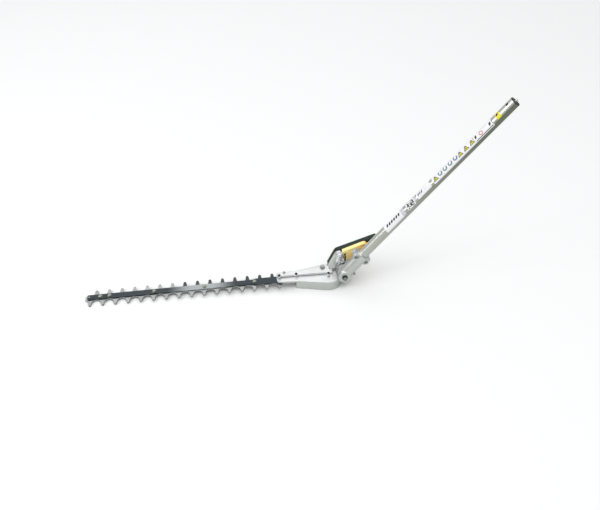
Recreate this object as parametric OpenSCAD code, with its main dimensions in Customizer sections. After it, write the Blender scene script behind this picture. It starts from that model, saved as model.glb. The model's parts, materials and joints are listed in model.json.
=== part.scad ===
// Articulating hedge trimmer head on a split shaft: two toothed blades that
// slide against each other, a cast gear case, a hinge with an index plate, a
// black angle handle with a yellow lock lever, and a straight aluminium tube.
//
// Frame: +X from the gear case towards the shaft's side, +Z up, origin on the
// flat face under the gear case that the head rests on. Millimetres.

/* [Blades] */
// Distance from one tooth to the next
tooth_pitch = 33; // [28:0.5:38]
// Teeth on the near side, the far side has one less
tooth_count = 16; // [10:1:20]
// Half of the width from tooth tip to tooth tip
tooth_reach = 27.75; // [24:0.25:34]
// Half of the width of the blade's solid back
blade_half = 8.5; // [7.5:0.25:11]
// Thickness of one blade
blade_t = 2.2; // [1.6:0.1:3]
// Running gap between sliding faces
blade_gap = 0.3; // [0.2:0.05:0.5]
// Distance from the crank to the last near tooth
blade_start = 130.4; // [120:0.2:160]
// Fall of the blades towards their tip, in degrees
blade_slope = 1.36; // [0:0.02:2]
// Throw of the crank, half of each blade's stroke
crank_throw = 7.5; // [5:0.25:8.25]
// Width of the guide bar over the blades
bar_w = 17; // [14:0.5:22]
// Thickness of the guide bar
bar_t = 2.5; // [1.5:0.1:4]
// Diameter of the blade bolts
blade_bolt_d = 6; // [4:0.5:7]

/* [Gear case] */
// Height of the blades' top face over the floor, at the crank
crank_height = 20.34; // [19:0.1:24]
// Teeth on the crank gear
crank_teeth = 40; // [36:1:44]
// Teeth on the jack shaft's pinion
jack_teeth = 14; // [12:1:16]
// Wall of the castings
wall = 2.6; // [2:0.1:3.5]
// Length of the case in front of the crank
case_front = 87; // [75:1:110]
// Length of the nose in front of the crank
nose_front = 136; // [120:1:160]
// Half width of the case at its front
case_half = 20; // [18:0.5:24]
// Height of the case's rim over the blades' top face
rim_up = 8.7; // [8:0.1:12]
// Thickness of the top cover
cover_t = 6; // [4:0.5:8]
// Diameter of the crank's journals in their bearings
crank_shaft_d = 10; // [8:0.5:12]

/* [Hinge] */
// Distance from the crank to the hinge axis, along the blades
hinge_reach = 41.4; // [38:0.1:48]
// Height of the hinge axis over the blades' top face
hinge_up = 16.2; // [14:0.1:18]
// Radius of the case's hinge drum
drum_r = 18; // [17.5:0.25:22]
// Length of the hinge drum
drum_len = 29; // [26:0.5:34]
// Radius of the index plate
index_r = 17.2; // [15:0.2:17.4]
// Thickness of the index plate
index_t = 4; // [3:0.25:5]
// Angle between two notches
index_step = 15; // [10:5:30]
// Diameter of the hinge bolt
hinge_bolt_d = 8; // [6:0.5:9]

/* [Shaft] */
// Outer diameter of the tube
tube_d = 26; // [24:0.5:28]
// Wall of the tube
tube_wall = 1.5; // [1:0.1:2.5]
// Distance from the hinge axis to the tube's far end
tube_end = 628; // [400:1:900]
// Depth of the tube in its clamp
tube_seat = 35; // [25:1:40]
// How much the tube is turned down where it sits in the clamp, on its radius
seat_relief = 0.25; // [0.1:0.05:0.5]
// Distance from the tube's end to its locating hole
locating_from_end = 15.5; // [14:0.5:60]
// Distance from the hinge axis to the clamp's mouth
clamp_reach = 80; // [76:1:100]
// Angle of the tube over the floor
shaft_angle = 52.4; // [0:0.2:90]
// Sideways place of the tube's axis
shaft_side = 15; // [15:0.5:18]
// Wall of the clamp housing around the tube
housing_wall = 4.5; // [3.5:0.25:5.5]
// Diameter of the drive shaft
drive_d = 8; // [6:0.5:9]
// Diameter of the locating hole near the tube's end
locating_d = 7; // [5:0.5:9]
// Turn of the locating hole from the tube's top to its near side, in degrees
locating_turn = 8; // [0:1:90]

/* [Handle] */
// Width of the black angle handle
handle_w = 14; // [10:1:20]
// Depth of the handle's bar
handle_bar = 9; // [7:0.5:12]
// Length of the handle's grip
grip_len = 110; // [90:1:130]
// Rise of the grip, in degrees
grip_rise = 21; // [10:1:30]
// Width of the lock lever
lever_w = 11; // [8:0.5:11.5]

/* [Hidden] */
$fn = 48;

crank_x = 24;
run_gap = 0.05;
body_gap = 0.5;
mesh_gap = 0.25;
stack_t = 2 * blade_t + blade_gap;
lower_top = -blade_t - blade_gap;
bar_bottom = blade_gap;
bar_wide = bar_w / 2 + 2.8;
bar_top = bar_bottom + bar_t;
case_split = -stack_t - 1.3;
jack_y = 18;
gear_distance = norm([hinge_reach, jack_y]);
gear_module = 2 * gear_distance / (crank_teeth + jack_teeth);
crank_pitch_r = gear_module * crank_teeth / 2;
jack_pitch_r = gear_module * jack_teeth / 2;
gear_room = 0.7;
case_r = crank_pitch_r + gear_room + wall;
jack_r = jack_pitch_r + gear_room + wall;
gear_t = 6;
pan_floor = -crank_height + 2.4;
gear_low = case_split - 0.5 - gear_t;
gear_high = gear_low + gear_t;
cup_top = gear_low - 0.6;
crank_cup_r = crank_shaft_d / 2 + 4.5;
jack_cup_r = drive_d / 2 + 4;
journal_r = 3.5;
eye_r = journal_r + 2 * crank_throw + 0.2;
eye_wall = 3.2;
eye_end_wall = 1.6;
hinge_x = crank_x + hinge_reach * cos(blade_slope) - hinge_up * sin(blade_slope);
hinge_z = crank_height + hinge_reach * sin(blade_slope) + hinge_up * cos(blade_slope);
housing_r = tube_d / 2 + housing_wall;
seat_r = tube_d / 2 - seat_relief;
plate_y = housing_r - shaft_side;
drum_y = plate_y + index_t + body_gap;
drum_end = drum_y + drum_len;
bolt_r = hinge_bolt_d / 2;
sleeve_r = bolt_r + 2.5;

// Bevel gears: radius of each heel, where the other gear's axis is the same distance away
wheel_r = 13;
pinion_r = 7;
jack_wheel_r = 12;
jack_bevel_r = 9;
toe = 0.66;

bolt_places = [0, 4 * tooth_pitch, 8 * tooth_pitch, 11.5 * tooth_pitch, 11.5 * tooth_pitch + 24];
first_bolt = blade_start + 64.6;
bar_root = first_bolt - 3;
blade_tip = blade_start + (tooth_count - 1) * tooth_pitch;
tip_half = 3.4;
bar_end = blade_tip + 6.6;
bolt_room = 0.3;
dowel_r = 2;
dowel_places = [-case_front + 7, -case_front + 20];

gasket_t = 0.6;
cover_near = -1;
cover_far = 15;
cover_back = 22;
cover_lugs = [[-129, 0], [-84, 0], [1, -9]];
far_lug = [-115, 10];
dome_at = [-12, 16];
screw_r = 2;
screw_head_r = 3.6;

bush_depth = 11;
bush_rim = 1.8;
clamp_at = clamp_reach - 12.5;
clamp_screw_r = 2.5;
clamp_head_r = 4.4;
clamp_head_in = 4;
clamp_nut_r = 4.6;
clamp_slot = 1.6;
slot_from = 38;
lug_out = tube_d / 2 + clamp_screw_r + 0.7;
lug_r = 9;
lug_half = 12;
flange_half = 6;
side_screws = [[17, -housing_r - 2]];
side_boss_r = 4.4;

// The handle, its bracket and the lever are drawn for a hinge at this reach and height, and move with it
drawn_reach = 41.4;
drawn_up = 16.2;
handle_move = [hinge_reach - drawn_reach, hinge_up - drawn_up];
function moved(points) = [for (p = points) p + handle_move];

grip_y = drum_y + 19;
lever_y = grip_y - 0.6 - lever_w;
lever_pivot = [122, 103] + handle_move;
lever_pin_r = 2.5;
plunger_x = 70 + handle_move[0];
plunger_y = plate_y + index_t / 2 + 0.5;
plunger_r = 1.9;
plunger_low = hinge_z + sqrt(index_r * index_r - pow(plunger_x - hinge_x, 2)) + 0.6;
link_z = 78 + handle_move[1];
guide_low = plunger_low + 4;
guide_high = link_z - 14;

// ---------- shared shapes ----------

// Everything that is square to the blades stands in this frame: crank axis, blades' top face
module blade_frame() {
    translate([crank_x, 0, crank_height]) rotate([0, -blade_slope, 0]) children();
}

// The tube's frame: X along the tube from the hinge axis, Y across, Z over it
module shaft_frame() {
    translate([hinge_x, -shaft_side, hinge_z]) rotate([0, -shaft_angle, 0]) children();
}

// A cylinder along Y, from y0 to y1
module rod_y(r, y0, y1, x = 0, z = 0) {
    translate([x, y1, z]) rotate([90, 0, 0]) cylinder(h = y1 - y0, r = r);
}

// A cylinder along X, from x0 to x1
module rod_x(r, x0, x1) {
    translate([x0, 0, 0]) rotate([0, 90, 0]) cylinder(h = x1 - x0, r = r);
}

// A cylinder along Z, from z0 to z1
module rod_z(r, z0, z1, x = 0, y = 0) {
    translate([x, y, z0]) cylinder(h = z1 - z0, r = r);
}

// A block from one corner to the other
module block(low, high) {
    translate(low) cube(high - low);
}

// An outline in X and Z, drawn out along Y
module plate_y_xz(points, y0, y1) {
    translate([0, y1, 0]) rotate([90, 0, 0]) linear_extrude(height = y1 - y0) polygon(points);
}

// A ring along Z
module ring_z(outer, inner, z0, z1) {
    difference() {
        rod_z(outer, z0, z1);
        rod_z(inner, z0 - 1, z1 + 1);
    }
}

// Toothed outline, the teeth as wide as their gaps at half depth
function gear_points(n, tip, root) = [for (i = [0 : n - 1], k = [0 : 3])
    let (a = 360 / n * (i + [-0.34, -0.15, 0.15, 0.34][k]), r = [root, tip, tip, root][k])
    [r * cos(a), r * sin(a)]];

// Bevel gear on Z: heel at z = 0, toe towards its apex at +Z
module bevel(n, heel_r, apex) {
    face = apex * (1 - toe);
    tip = heel_r - mesh_gap;
    linear_extrude(height = face, scale = toe) polygon(gear_points(n, tip, tip * 0.86));
}

// Spur gear on Z
module spur(n, pitch_r, z0, z1) {
    tip = pitch_r - mesh_gap / 2;
    translate([0, 0, z0]) linear_extrude(height = z1 - z0)
        polygon(gear_points(n, tip, tip - 1.9 * gear_module));
}

// Cap screw on Z: its head's underside at z = 0, the shank below it
module cap_screw(r, head_r, head_h, len) {
    difference() {
        union() {
            cylinder(h = head_h, r = head_r);
            translate([0, 0, -len]) cylinder(h = len, r = r);
        }
        translate([0, 0, head_h * 0.45]) cylinder(h = head_h, r = head_r * 0.55, $fn = 6);
    }
}

// Hex nut or hex head on Z
module hexagon(r, h) {
    cylinder(h = h, r = r, $fn = 6);
}

// ---------- blades ----------

// Far teeth have plain flanks
function far_tooth(x) = [
    [x - 10.5, blade_half], [x - 7.2, blade_half + 1.4], [x - 5.2, blade_half + 5],
    [x - tip_half, tooth_reach - 2.4], [x - 2, tooth_reach], [x + 2, tooth_reach],
    [x + tip_half, tooth_reach - 2.4], [x + 5.2, blade_half + 5],
    [x + 7.2, blade_half + 1.4], [x + 10.5, blade_half]];

// Near teeth run into each other in half ellipses
gap_half = tooth_pitch / 2 - tip_half;
gap_depth = tooth_reach - 2.4 - blade_half;
function near_gap(x, from, to) = [for (i = [0 : 12])
    let (t = from + (to - from) * i / 12)
    [x - gap_half * cos(t), -blade_half - gap_depth * (1 - sin(t))]];

function near_tip(x) = [[x - 2, -tooth_reach], [x + 2, -tooth_reach]];
first_flank = [[-blade_tip - 10, -blade_half], [-blade_tip - 7.2, -blade_half - 1.4],
    [-blade_tip - 5.2, -blade_half - 5], [-blade_tip - tip_half, -tooth_reach + 2.4]];
near_side = concat(first_flank, [for (k = [tooth_count - 1 : -1 : 0])
    let (x = -blade_start - k * tooth_pitch)
    each concat(near_tip(x), near_gap(x + tooth_pitch / 2, 0, k > 0 ? 180 : 90))]);
far_side = [for (k = [tooth_count - 2 : -1 : 0], p = far_tooth(-blade_start - (k + 0.5) * tooth_pitch)) p];
far_back = [for (i = [len(far_side) - 1 : -1 : 0]) far_side[i]];

module blade_plate(z0) {
    translate([0, 0, z0]) difference() {
        linear_extrude(height = blade_t) union() {
            polygon(concat([[-blade_tip - 12, blade_half - 2], [-blade_tip - 12, -blade_half + 2]],
                near_side, [[-eye_r - 1, -blade_half], [-eye_r - 1, blade_half]], far_back));
            intersection() {
                circle(r = eye_r + eye_wall);
                translate([-60, -60]) square([60 + eye_r + eye_end_wall, 120]);
            }
        }
        translate([0, 0, -1]) cylinder(h = blade_t + 2, r = eye_r);
        for (place = bolt_places) slot_cut(-first_bolt - place);
    }
}

module slot_cut(x) {
    r = blade_bolt_d / 2 + bolt_room;
    translate([0, 0, -1]) {
        block([x - crank_throw, -r, 0], [x + crank_throw, r, blade_t + 2]);
        for (side = [-1, 1]) translate([x + side * crank_throw, 0, 0]) cylinder(h = blade_t + 2, r = r);
    }
}

module upper_blade() {
    color("dimgray") blade_frame() blade_plate(-blade_t);
}

module lower_blade() {
    color("slategray") blade_frame() blade_plate(-stack_t);
}

module guide_bar() {
    bar = bar_w / 2;
    color([0.3, 0.34, 0.36]) blade_frame() difference() {
        translate([0, 0, bar_bottom]) linear_extrude(height = bar_t)
            polygon([[-bar_end, bar - 1.5], [-bar_end, -bar + 1.5], [-bar_end + 3, -bar],
                [-bar_root - 8, -bar], [-bar_root, -bar_wide], [-case_front + 26, -bar_wide],
                [-case_front + 26, bar_wide], [-bar_root, bar_wide], [-bar_root - 8, bar],
                [-bar_end + 3, bar]]);
        for (place = bolt_places)
            rod_z(blade_bolt_d / 2 + run_gap, -1, bar_top + 1, -first_bolt - place);
        rod_z(1.5 + run_gap, -1, bar_top + 1, -bar_end + 5);
        for (x = dowel_places) rod_z(dowel_r + run_gap, -1, bar_top + 1, x);
    }
}

// Dowels that hold the guide bar in the case
module bar_dowels() {
    color("silver") blade_frame() for (x = dowel_places) rod_z(dowel_r, bar_bottom, rim_up - wall + 1, x);
}

module blade_bolts() {
    color("silver") blade_frame() for (place = bolt_places) translate([-first_bolt - place, 0, 0]) {
        rod_z(blade_bolt_d / 2, -stack_t - 0.7, bar_top);
        rod_z(blade_bolt_d / 2 + 2.6, bar_top, bar_top + 0.8);
        translate([0, 0, bar_top + 0.8]) hexagon(blade_bolt_d / 2 + 1.9, 2.6);
    }
}

module blade_washers() {
    color("silver") blade_frame() for (place = bolt_places) translate([-first_bolt - place, 0, 0])
        ring_z(7.5, blade_bolt_d / 2 + run_gap, -stack_t - 0.9, -stack_t - 0.2);
}

module tip_rivet() {
    color("silver") blade_frame() translate([-bar_end + 5, 0, 0]) {
        rod_z(1.5, bar_bottom, bar_top);
        rod_z(2.4, bar_top, bar_top + 0.8);
    }
}

// ---------- gear case ----------

// Outline of the case: the crank's round end, the jack shaft's lobe and a narrowing front
module case_outline(inset = 0) {
    corner = 6;
    hull() {
        circle(r = case_r - inset, $fn = 96);
        for (side = [-1, 1]) translate([-case_front + corner, side * (case_half - corner)])
            circle(r = corner - inset);
    }
    hull() {
        circle(r = case_r - inset, $fn = 96);
        translate([hinge_reach, jack_y]) circle(r = jack_r - inset);
    }
}

// Room swept by the clamp housing and the index plate
module hinge_sweep() {
    rod_y(housing_r + 1.5, -60, plate_y + body_gap, hinge_reach, hinge_up);
    rod_y(index_r + body_gap, plate_y - 0.1, drum_y, hinge_reach, hinge_up);
}

// The half space under the floor
module under_floor() {
    block([-900, -100, -60], [400, 100, 0]);
}

module gear_pan() {
    color("gainsboro") difference() {
        blade_frame() difference() {
            translate([0, 0, -crank_height - 4]) linear_extrude(height = crank_height + 4 + case_split)
                case_outline();
            difference() {
                translate([0, 0, pan_floor]) linear_extrude(height = crank_height) case_outline(wall);
                rod_z(crank_cup_r + 2, pan_floor - 1, cup_top);
                rod_z(jack_cup_r + 2, pan_floor - 1, cup_top, hinge_reach, jack_y);
                for (p = pan_screw_places) rod_z(screw_head_r + 2, -30, case_split, p[0], p[1]);
            }
            rod_z(crank_cup_r + 0.02, pan_floor + 1.2, cup_top + 1);
            rod_z(jack_cup_r + 0.02, pan_floor + 1.2, cup_top + 1, hinge_reach, jack_y);
            for (p = pan_screw_places) {
                rod_z(screw_r + run_gap, -40, 10, p[0], p[1]);
                rod_z(screw_head_r + 0.4, -40, -crank_height + 5, p[0], p[1]);
            }
            hinge_sweep();
        }
        under_floor();
    }
}

pan_screw_places = [for (side = [-1, 1], p = [[-case_front + 9, case_half - 5.2], [-case_r - 1.3, case_half + 2]])
    [p[0], side * p[1]]];

module pan_screws() {
    color("gray") blade_frame() for (p = pan_screw_places)
        translate([p[0], p[1], -crank_height + 5]) rotate([180, 0, 0])
            cap_screw(screw_r, screw_head_r - 0.3, 2.2, 14);
}

module case_body() {
    roof = rim_up - wall;
    color("lightgray") blade_frame() difference() {
        union() {
            translate([0, 0, case_split]) linear_extrude(height = rim_up - case_split) case_outline();
            nose();
            intersection() {
                rod_y(drum_r, drum_y, drum_end, hinge_reach, hinge_up);
                block([0, 0, case_split], [100, 100, 100]);
            }
        }
        difference() {
            translate([0, 0, case_split - 1]) linear_extrude(height = roof - case_split + 1) case_outline(wall);
            for (p = pan_screw_places) rod_z(screw_r + 1, case_split, roof + 1, p[0], p[1]);
            for (x = dowel_places) rod_z(dowel_r + 2, bar_top + run_gap, roof + 1, x);
            rod_z(crank_shaft_d / 2 + 7, roof - 4.6, roof + 1);
        }
        for (x = dowel_places) rod_z(dowel_r + run_gap, 0, roof + 1 + run_gap, x);
        block([-case_front - 1, -bar_wide - 0.4, case_split - 1], [-case_front + wall + 1, bar_wide + 0.4, bar_top]);
        rod_y(drum_r - wall, drum_y - 1, drum_end - 2 * wall, hinge_reach, hinge_up);
        rod_y(bolt_r + run_gap, drum_y, drum_end + 1, hinge_reach, hinge_up);
        rod_z(crank_shaft_d / 2 + 5.02, 0, roof);
        rod_z(crank_shaft_d / 2 + 0.5, 0, roof + 0.6);
        for (p = pan_screw_places) rod_z(screw_r + run_gap, case_split - 1, roof - 1, p[0], p[1]);
        for (p = cover_lugs) rod_z(screw_r + run_gap, rim_up - 2.2, rim_up + 1, p[0], p[1]);
        rod_z(screw_r + run_gap, rim_up - 2.2, rim_up + 1, far_lug[0], far_lug[1]);
        rod_z(screw_r + 1 + run_gap, rim_up - 2.2, rim_up + 1, dome_at[0], dome_at[1]);
        for (p = bracket_screw_places) rod_y(screw_r + run_gap, drum_end - wall, drum_end + 1, p[0], p[1]);
        hinge_sweep();
    }
}

// The nose that lies on the guide bar in front of the case
module nose() {
    tip = case_half - 4;
    translate([0, 0, bar_top]) linear_extrude(height = rim_up - bar_top)
        polygon([[-nose_front, -tip + 5], [-nose_front + 4, -tip], [-case_front + 6, -case_half],
            [-case_front + 6, case_half], [-nose_front + 4, tip], [-nose_front, tip - 5]]);
}

// Screws of the handle bracket, on the drum's far face, from the hinge axis
bracket_screw_places = [for (a = [60, 180, 300])
    [hinge_reach + (drum_r - 6) * cos(a), hinge_up + (drum_r - 6) * sin(a)]];

module case_cover() {
    color("whitesmoke") blade_frame() difference() {
        translate([0, 0, rim_up + gasket_t]) linear_extrude(height = cover_t) cover_outline();
        for (p = cover_lugs) rod_z(screw_r + run_gap, 0, 30, p[0], p[1]);
        rod_z(screw_r + run_gap, 0, 30, far_lug[0], far_lug[1]);
        rod_z(screw_r + 1 + run_gap, 0, 30, dome_at[0], dome_at[1]);
        rod_y(drum_r + 0.2, -60, 60, hinge_reach, hinge_up);
        hinge_sweep();
    }
}

module cover_outline() {
    polygon([[-nose_front + 2, cover_near], [-case_front, cover_near], [12, cover_near - 3],
        [16, cover_back], [-20, cover_back], [-60, cover_far], [-nose_front + 2, cover_far - 3]]);
    for (p = concat(cover_lugs, [far_lug])) translate(p) circle(r = screw_r + 2.6);
    translate(cover_lugs[2]) translate([-screw_r - 2.6, 0]) square([2 * screw_r + 5.2, 12]);
}

module case_gasket() {
    color("dimgray") blade_frame() difference() {
        translate([0, 0, rim_up]) linear_extrude(height = gasket_t) cover_outline();
        for (p = cover_lugs) rod_z(screw_r + run_gap, 0, 30, p[0], p[1]);
        rod_z(screw_r + run_gap, 0, 30, far_lug[0], far_lug[1]);
        rod_z(screw_r + 1 + run_gap, 0, 30, dome_at[0], dome_at[1]);
        rod_y(drum_r + 0.2, -60, 60, hinge_reach, hinge_up);
        hinge_sweep();
    }
}

cover_top = rim_up + gasket_t + cover_t;

module cover_screws() {
    color("gray") blade_frame() for (p = cover_lugs)
        translate([p[0], p[1], cover_top]) cap_screw(screw_r, screw_head_r, 2.6, cover_t + 2);
}

module cover_nuts() {
    color("silver") blade_frame() translate([far_lug[0], far_lug[1], cover_top]) {
        hexagon(3.6, 2.8);
        rod_z(screw_r, -cover_t - 2, 4);
    }
}

module cover_bolt() {
    color("silver") blade_frame() translate([dome_at[0], dome_at[1], cover_top]) {
        rod_z(screw_r + 1, -cover_t - 2, 0.5);
        rod_z(7.5, 0, 1.6);
        translate([0, 0, 1.6]) hexagon(5.6, 4.4);
        intersection() {
            translate([0, 0, 2]) sphere(r = 5.5);
            rod_z(5.5, 5.9, 9);
        }
    }
}

// ---------- gears ----------

module crank_gear() {
    r = crank_shaft_d / 2;
    color("darkgray") blade_frame() {
        difference() {
            spur(crank_teeth, crank_pitch_r, gear_low, gear_high);
            for (a = [0 : 60 : 300]) rotate([0, 0, a + 30])
                rod_z(4.5, gear_low - 1, gear_high + 1, crank_pitch_r * 0.62);
        }
        rod_z(r, pan_floor + 1.5, rim_up - wall + 0.3);
        translate([0, -crank_throw, 0]) rod_z(journal_r, gear_high - 0.1, lower_top + 0.1);
        translate([0, crank_throw, 0]) rod_z(journal_r, lower_top, bar_bottom);
        rod_z(r + 1.5, gear_high - 0.1, 1.4);
    }
}

module crank_bearings() {
    r = crank_shaft_d / 2;
    color("silver") blade_frame() {
        ring_z(crank_cup_r, r + run_gap, pan_floor + 1.3, cup_top);
        ring_z(r + 5, r + run_gap, rim_up - wall - 4, rim_up - wall - 0.1);
    }
}

module jack_shaft() {
    r = drive_d / 2;
    heel = hinge_up - jack_wheel_r;
    color("darkgray") blade_frame() translate([hinge_reach, jack_y, 0]) {
        spur(jack_teeth, jack_pitch_r, gear_low, gear_high);
        rod_z(r, pan_floor + 1.5, heel);
        translate([0, 0, heel]) bevel(18, jack_bevel_r, jack_wheel_r);
        rod_z(jack_bevel_r * 0.8, heel - 2, heel);
    }
}

module jack_bearings() {
    r = drive_d / 2;
    color("silver") blade_frame() translate([hinge_reach, jack_y, 0])
        ring_z(jack_cup_r, r + run_gap, pan_floor + 1.3, cup_top);
}

// Both hinge wheels on one sleeve that turns on the hinge bolt
module hinge_gears() {
    near_apex = -shaft_side;
    far_apex = jack_y;
    color("darkgray") translate([hinge_x, 0, hinge_z]) difference() {
        union() {
            rod_y(sleeve_r, near_apex + pinion_r * 0.7, far_apex + jack_bevel_r + 3);
            translate([0, near_apex + pinion_r, 0]) rotate([90, 0, 0]) bevel(26, wheel_r, pinion_r);
            rod_y(wheel_r * 0.85, near_apex + pinion_r, near_apex + pinion_r + 4);
            translate([0, far_apex + jack_bevel_r, 0]) rotate([90, 0, 0]) bevel(24, jack_wheel_r, jack_bevel_r);
            rod_y(jack_wheel_r * 0.85, far_apex + jack_bevel_r, far_apex + jack_bevel_r + 3);
        }
        rod_y(bolt_r + run_gap, -60, 60);
    }
}

// Plain bushes that carry the hinge bolt in the clamp housing
module hinge_bushes() {
    color("goldenrod") translate([hinge_x, 0, hinge_z]) difference() {
        rod_y(bolt_r + 2.5, -shaft_side - housing_r + 1, -shaft_side - housing_r + 7);
        rod_y(bolt_r + run_gap, -80, 60);
    }
}

module hinge_bolt() {
    head_y = -shaft_side - housing_r - 2.6;
    color("silver") translate([hinge_x, 0, hinge_z]) difference() {
        union() {
            rod_y(bolt_r, head_y, drum_end + 7);
            rod_y(bolt_r + 1, head_y - 6, head_y);
        }
        translate([0, head_y - 2.8, 0]) rotate([90, 0, 0]) cylinder(h = 6, r = bolt_r * 0.6, $fn = 6);
    }
}

module hinge_nut() {
    color("silver") translate([hinge_x, drum_end, hinge_z]) rotate([-90, 0, 0]) difference() {
        hexagon(bolt_r + 3.4, 5);
        translate([0, 0, -1]) cylinder(h = 8, r = bolt_r + run_gap);
    }
}

module hinge_washer() {
    face = -shaft_side - housing_r;
    color([0.08, 0.09, 0.09]) translate([hinge_x, 0, hinge_z]) difference() {
        rod_y(bolt_r + 3.3, face - 2.4, face - 0.3);
        rod_y(bolt_r + run_gap, -80, 60);
    }
}

// ---------- handle and lock ----------

grip_dir = [cos(grip_rise), sin(grip_rise)];
grip_start = [48.7, 81.7];
grip_end = grip_start + grip_len * grip_dir;
grip_down = [sin(grip_rise), -cos(grip_rise)];

// The grip's web around the lever's pivot
pivot_cheek = [[110, 101], [113, 97], [122, 93.5], [133, 92.5], [141, 97], [150, 113], [120, 108]];

module angle_handle() {
    leg_foot = [27.9, 31];
    leg_top = [44.8, 76.5];
    outer = [leg_foot, [27.7, 38], leg_top, grip_start, grip_end, grip_end + [5.2, -3.6]];
    inner = [grip_end + [3, -3.6] + 14 * grip_down, grip_end + [-7, -3] + 12 * grip_down,
        grip_end + [-12, -1] + handle_bar * grip_down, grip_start + [2, 0] + handle_bar * grip_down,
        leg_top + [handle_bar, -3], [27.7 + handle_bar, 38], leg_foot + [handle_bar, 0]];
    color([0.13, 0.17, 0.15]) difference() {
        union() {
            plate_y_xz(moved(concat(outer, inner)), grip_y, grip_y + handle_w);
            plate_y_xz(moved(pivot_cheek), grip_y, grip_y + handle_w);
        }
        for (p = handle_screw_places) {
            rod_y(screw_r + run_gap, grip_y - 1, grip_y + handle_w + 1, p[0], p[1]);
            rod_y(screw_head_r + 0.3, grip_y + handle_w - 3, grip_y + handle_w + 1, p[0], p[1]);
        }
        rod_y(lever_pin_r + run_gap, grip_y - 1, grip_y + handle_w - 3, lever_pivot[0], lever_pivot[1]);
    }
}

handle_screw_places = moved([[33.5, 42], [45, 70]]);

module handle_screws() {
    color("gray") for (p = handle_screw_places)
        translate([p[0], grip_y + handle_w - 3, p[1]]) rotate([-90, 0, 0])
            cap_screw(screw_r, screw_head_r, 2.4, handle_w + 3);
}

module handle_bracket() {
    foot_y = drum_end;
    color("lightgray") difference() {
        union() {
            plate_y_xz(moved([[27.5, 36.2], [30.5, 44], [45.5, 78], [49, 81], [62.5, 85], [64, 74], [72, 61],
                [74, 54], [46, 36.2]]), plunger_y + 5, grip_y - 0.2);
            block([plunger_x - 5, plate_y + 0.4, guide_low], [plunger_x + 5, plunger_y + 6, guide_high]);
            plate_y_xz(moved([[54, 50], [54, 68], [72, 66], [76, 50]]), plunger_y + 5, foot_y + 4);
            plate_y_xz(moved([[47.5, 36], [50, 52], [54, 62], [72, 60], [84, 46], [81, 26], [66, 19], [51, 24]]),
                foot_y, foot_y + 4);
        }
        for (p = handle_screw_places) rod_y(screw_r + run_gap, grip_y - 7, grip_y, p[0], p[1]);
        blade_frame() for (p = bracket_screw_places)
            rod_y(screw_r + run_gap, foot_y - 1, foot_y + 5, p[0], p[1]);
        rod_y(drum_r + 0.2, drum_y - 20, foot_y, hinge_x, hinge_z);
        rod_y(index_r + body_gap, -60, drum_y, hinge_x, hinge_z);
        rod_z(plunger_r + run_gap, guide_low - 1, guide_high + 1, plunger_x, plunger_y);
        rod_y(bolt_r + 4.5, foot_y - 1, foot_y + 9, hinge_x, hinge_z);
        block([plunger_x - 8, plunger_y + 6, link_z - 6], [plunger_x + 20, grip_y + 5, 110]);
        lever_room();
    }
}

module lever_room() {
    plate_y_xz(moved([[59.5, 80], [60.5, 100], [90, 110], [95, 40], [74, 40], [66, 60]]), lever_y - 1, grip_y + 1);
}

module bracket_screws() {
    color("gray") blade_frame() for (p = bracket_screw_places)
        translate([p[0], drum_end + 4, p[1]]) rotate([-90, 0, 0]) cap_screw(screw_r, screw_head_r, 2.4, 6);
}

module lock_lever() {
    slot_r = plunger_r + 0.35;
    color([1, 0.72, 0.2]) difference() {
        plate_y_xz(moved([[63.4, 87], [118, 109.6], [124, 110], [130.5, 104], [130, 98], [124, 94],
            [104, 84], [92, 66], [86, 48], [79, 45], [77.4, 50], [75.9, 56], [68.4, 66], [65, 76]]),
            lever_y, lever_y + lever_w);
        rod_y(lever_pin_r + run_gap, -60, 60, lever_pivot[0], lever_pivot[1]);
        rod_y(drum_r + 3.5, -60, 60, hinge_x, hinge_z);
        block([plunger_x, lever_y - 1, link_z - slot_r], [plunger_x + 4, grip_y, link_z + slot_r]);
        for (x = [0, 4]) rod_y(slot_r, lever_y - 1, grip_y, plunger_x + x, link_z);
    }
}

module lever_pin() {
    color("silver") translate([lever_pivot[0], 0, lever_pivot[1]]) {
        rod_y(lever_pin_r, lever_y - 1.2, grip_y + handle_w - 4);
        rod_y(lever_pin_r + 2, lever_y - 2.8, lever_y - 1.2);
    }
}

// Three closed turns around the pin's end, between lever and pin head
module lever_spring() {
    wire = 0.5;
    color("silver") for (k = [0 : 2])
        translate([lever_pivot[0], lever_y - 2.8 - (2 * k + 1) * wire - k * 0.1, lever_pivot[1]])
            rotate([90, 0, 0]) rotate_extrude($fn = 32) translate([lever_pin_r + 1, 0]) circle(r = wire, $fn = 16);
}

module lock_plunger() {
    color("silver") {
        rod_z(plunger_r, plunger_low, link_z + 1, plunger_x, plunger_y);
        rod_y(plunger_r, plunger_y - 1, lever_y + lever_w - 1, plunger_x, link_z);
    }
}

module index_plate() {
    notch_r = plunger_r + 0.4;
    lock_angle = acos((plunger_x - hinge_x) / index_r) - shaft_angle;
    color("silver") shaft_frame() translate([0, shaft_side, 0]) difference() {
        rod_y(index_r, plate_y, plate_y + index_t);
        for (k = [-2 : 5]) rotate([0, -lock_angle - k * index_step, 0])
            rod_y(notch_r, plate_y - 1, plate_y + index_t + 1, index_r - 0.4);
        rod_y(sleeve_r + 1, -60, 60);
        for (a = [45 : 90 : 315])
            rod_y(1.5, plate_y - 1, plate_y + index_t + 1, 13 * cos(a), 13 * sin(a));
    }
}

// ---------- clamp housing ----------

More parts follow.
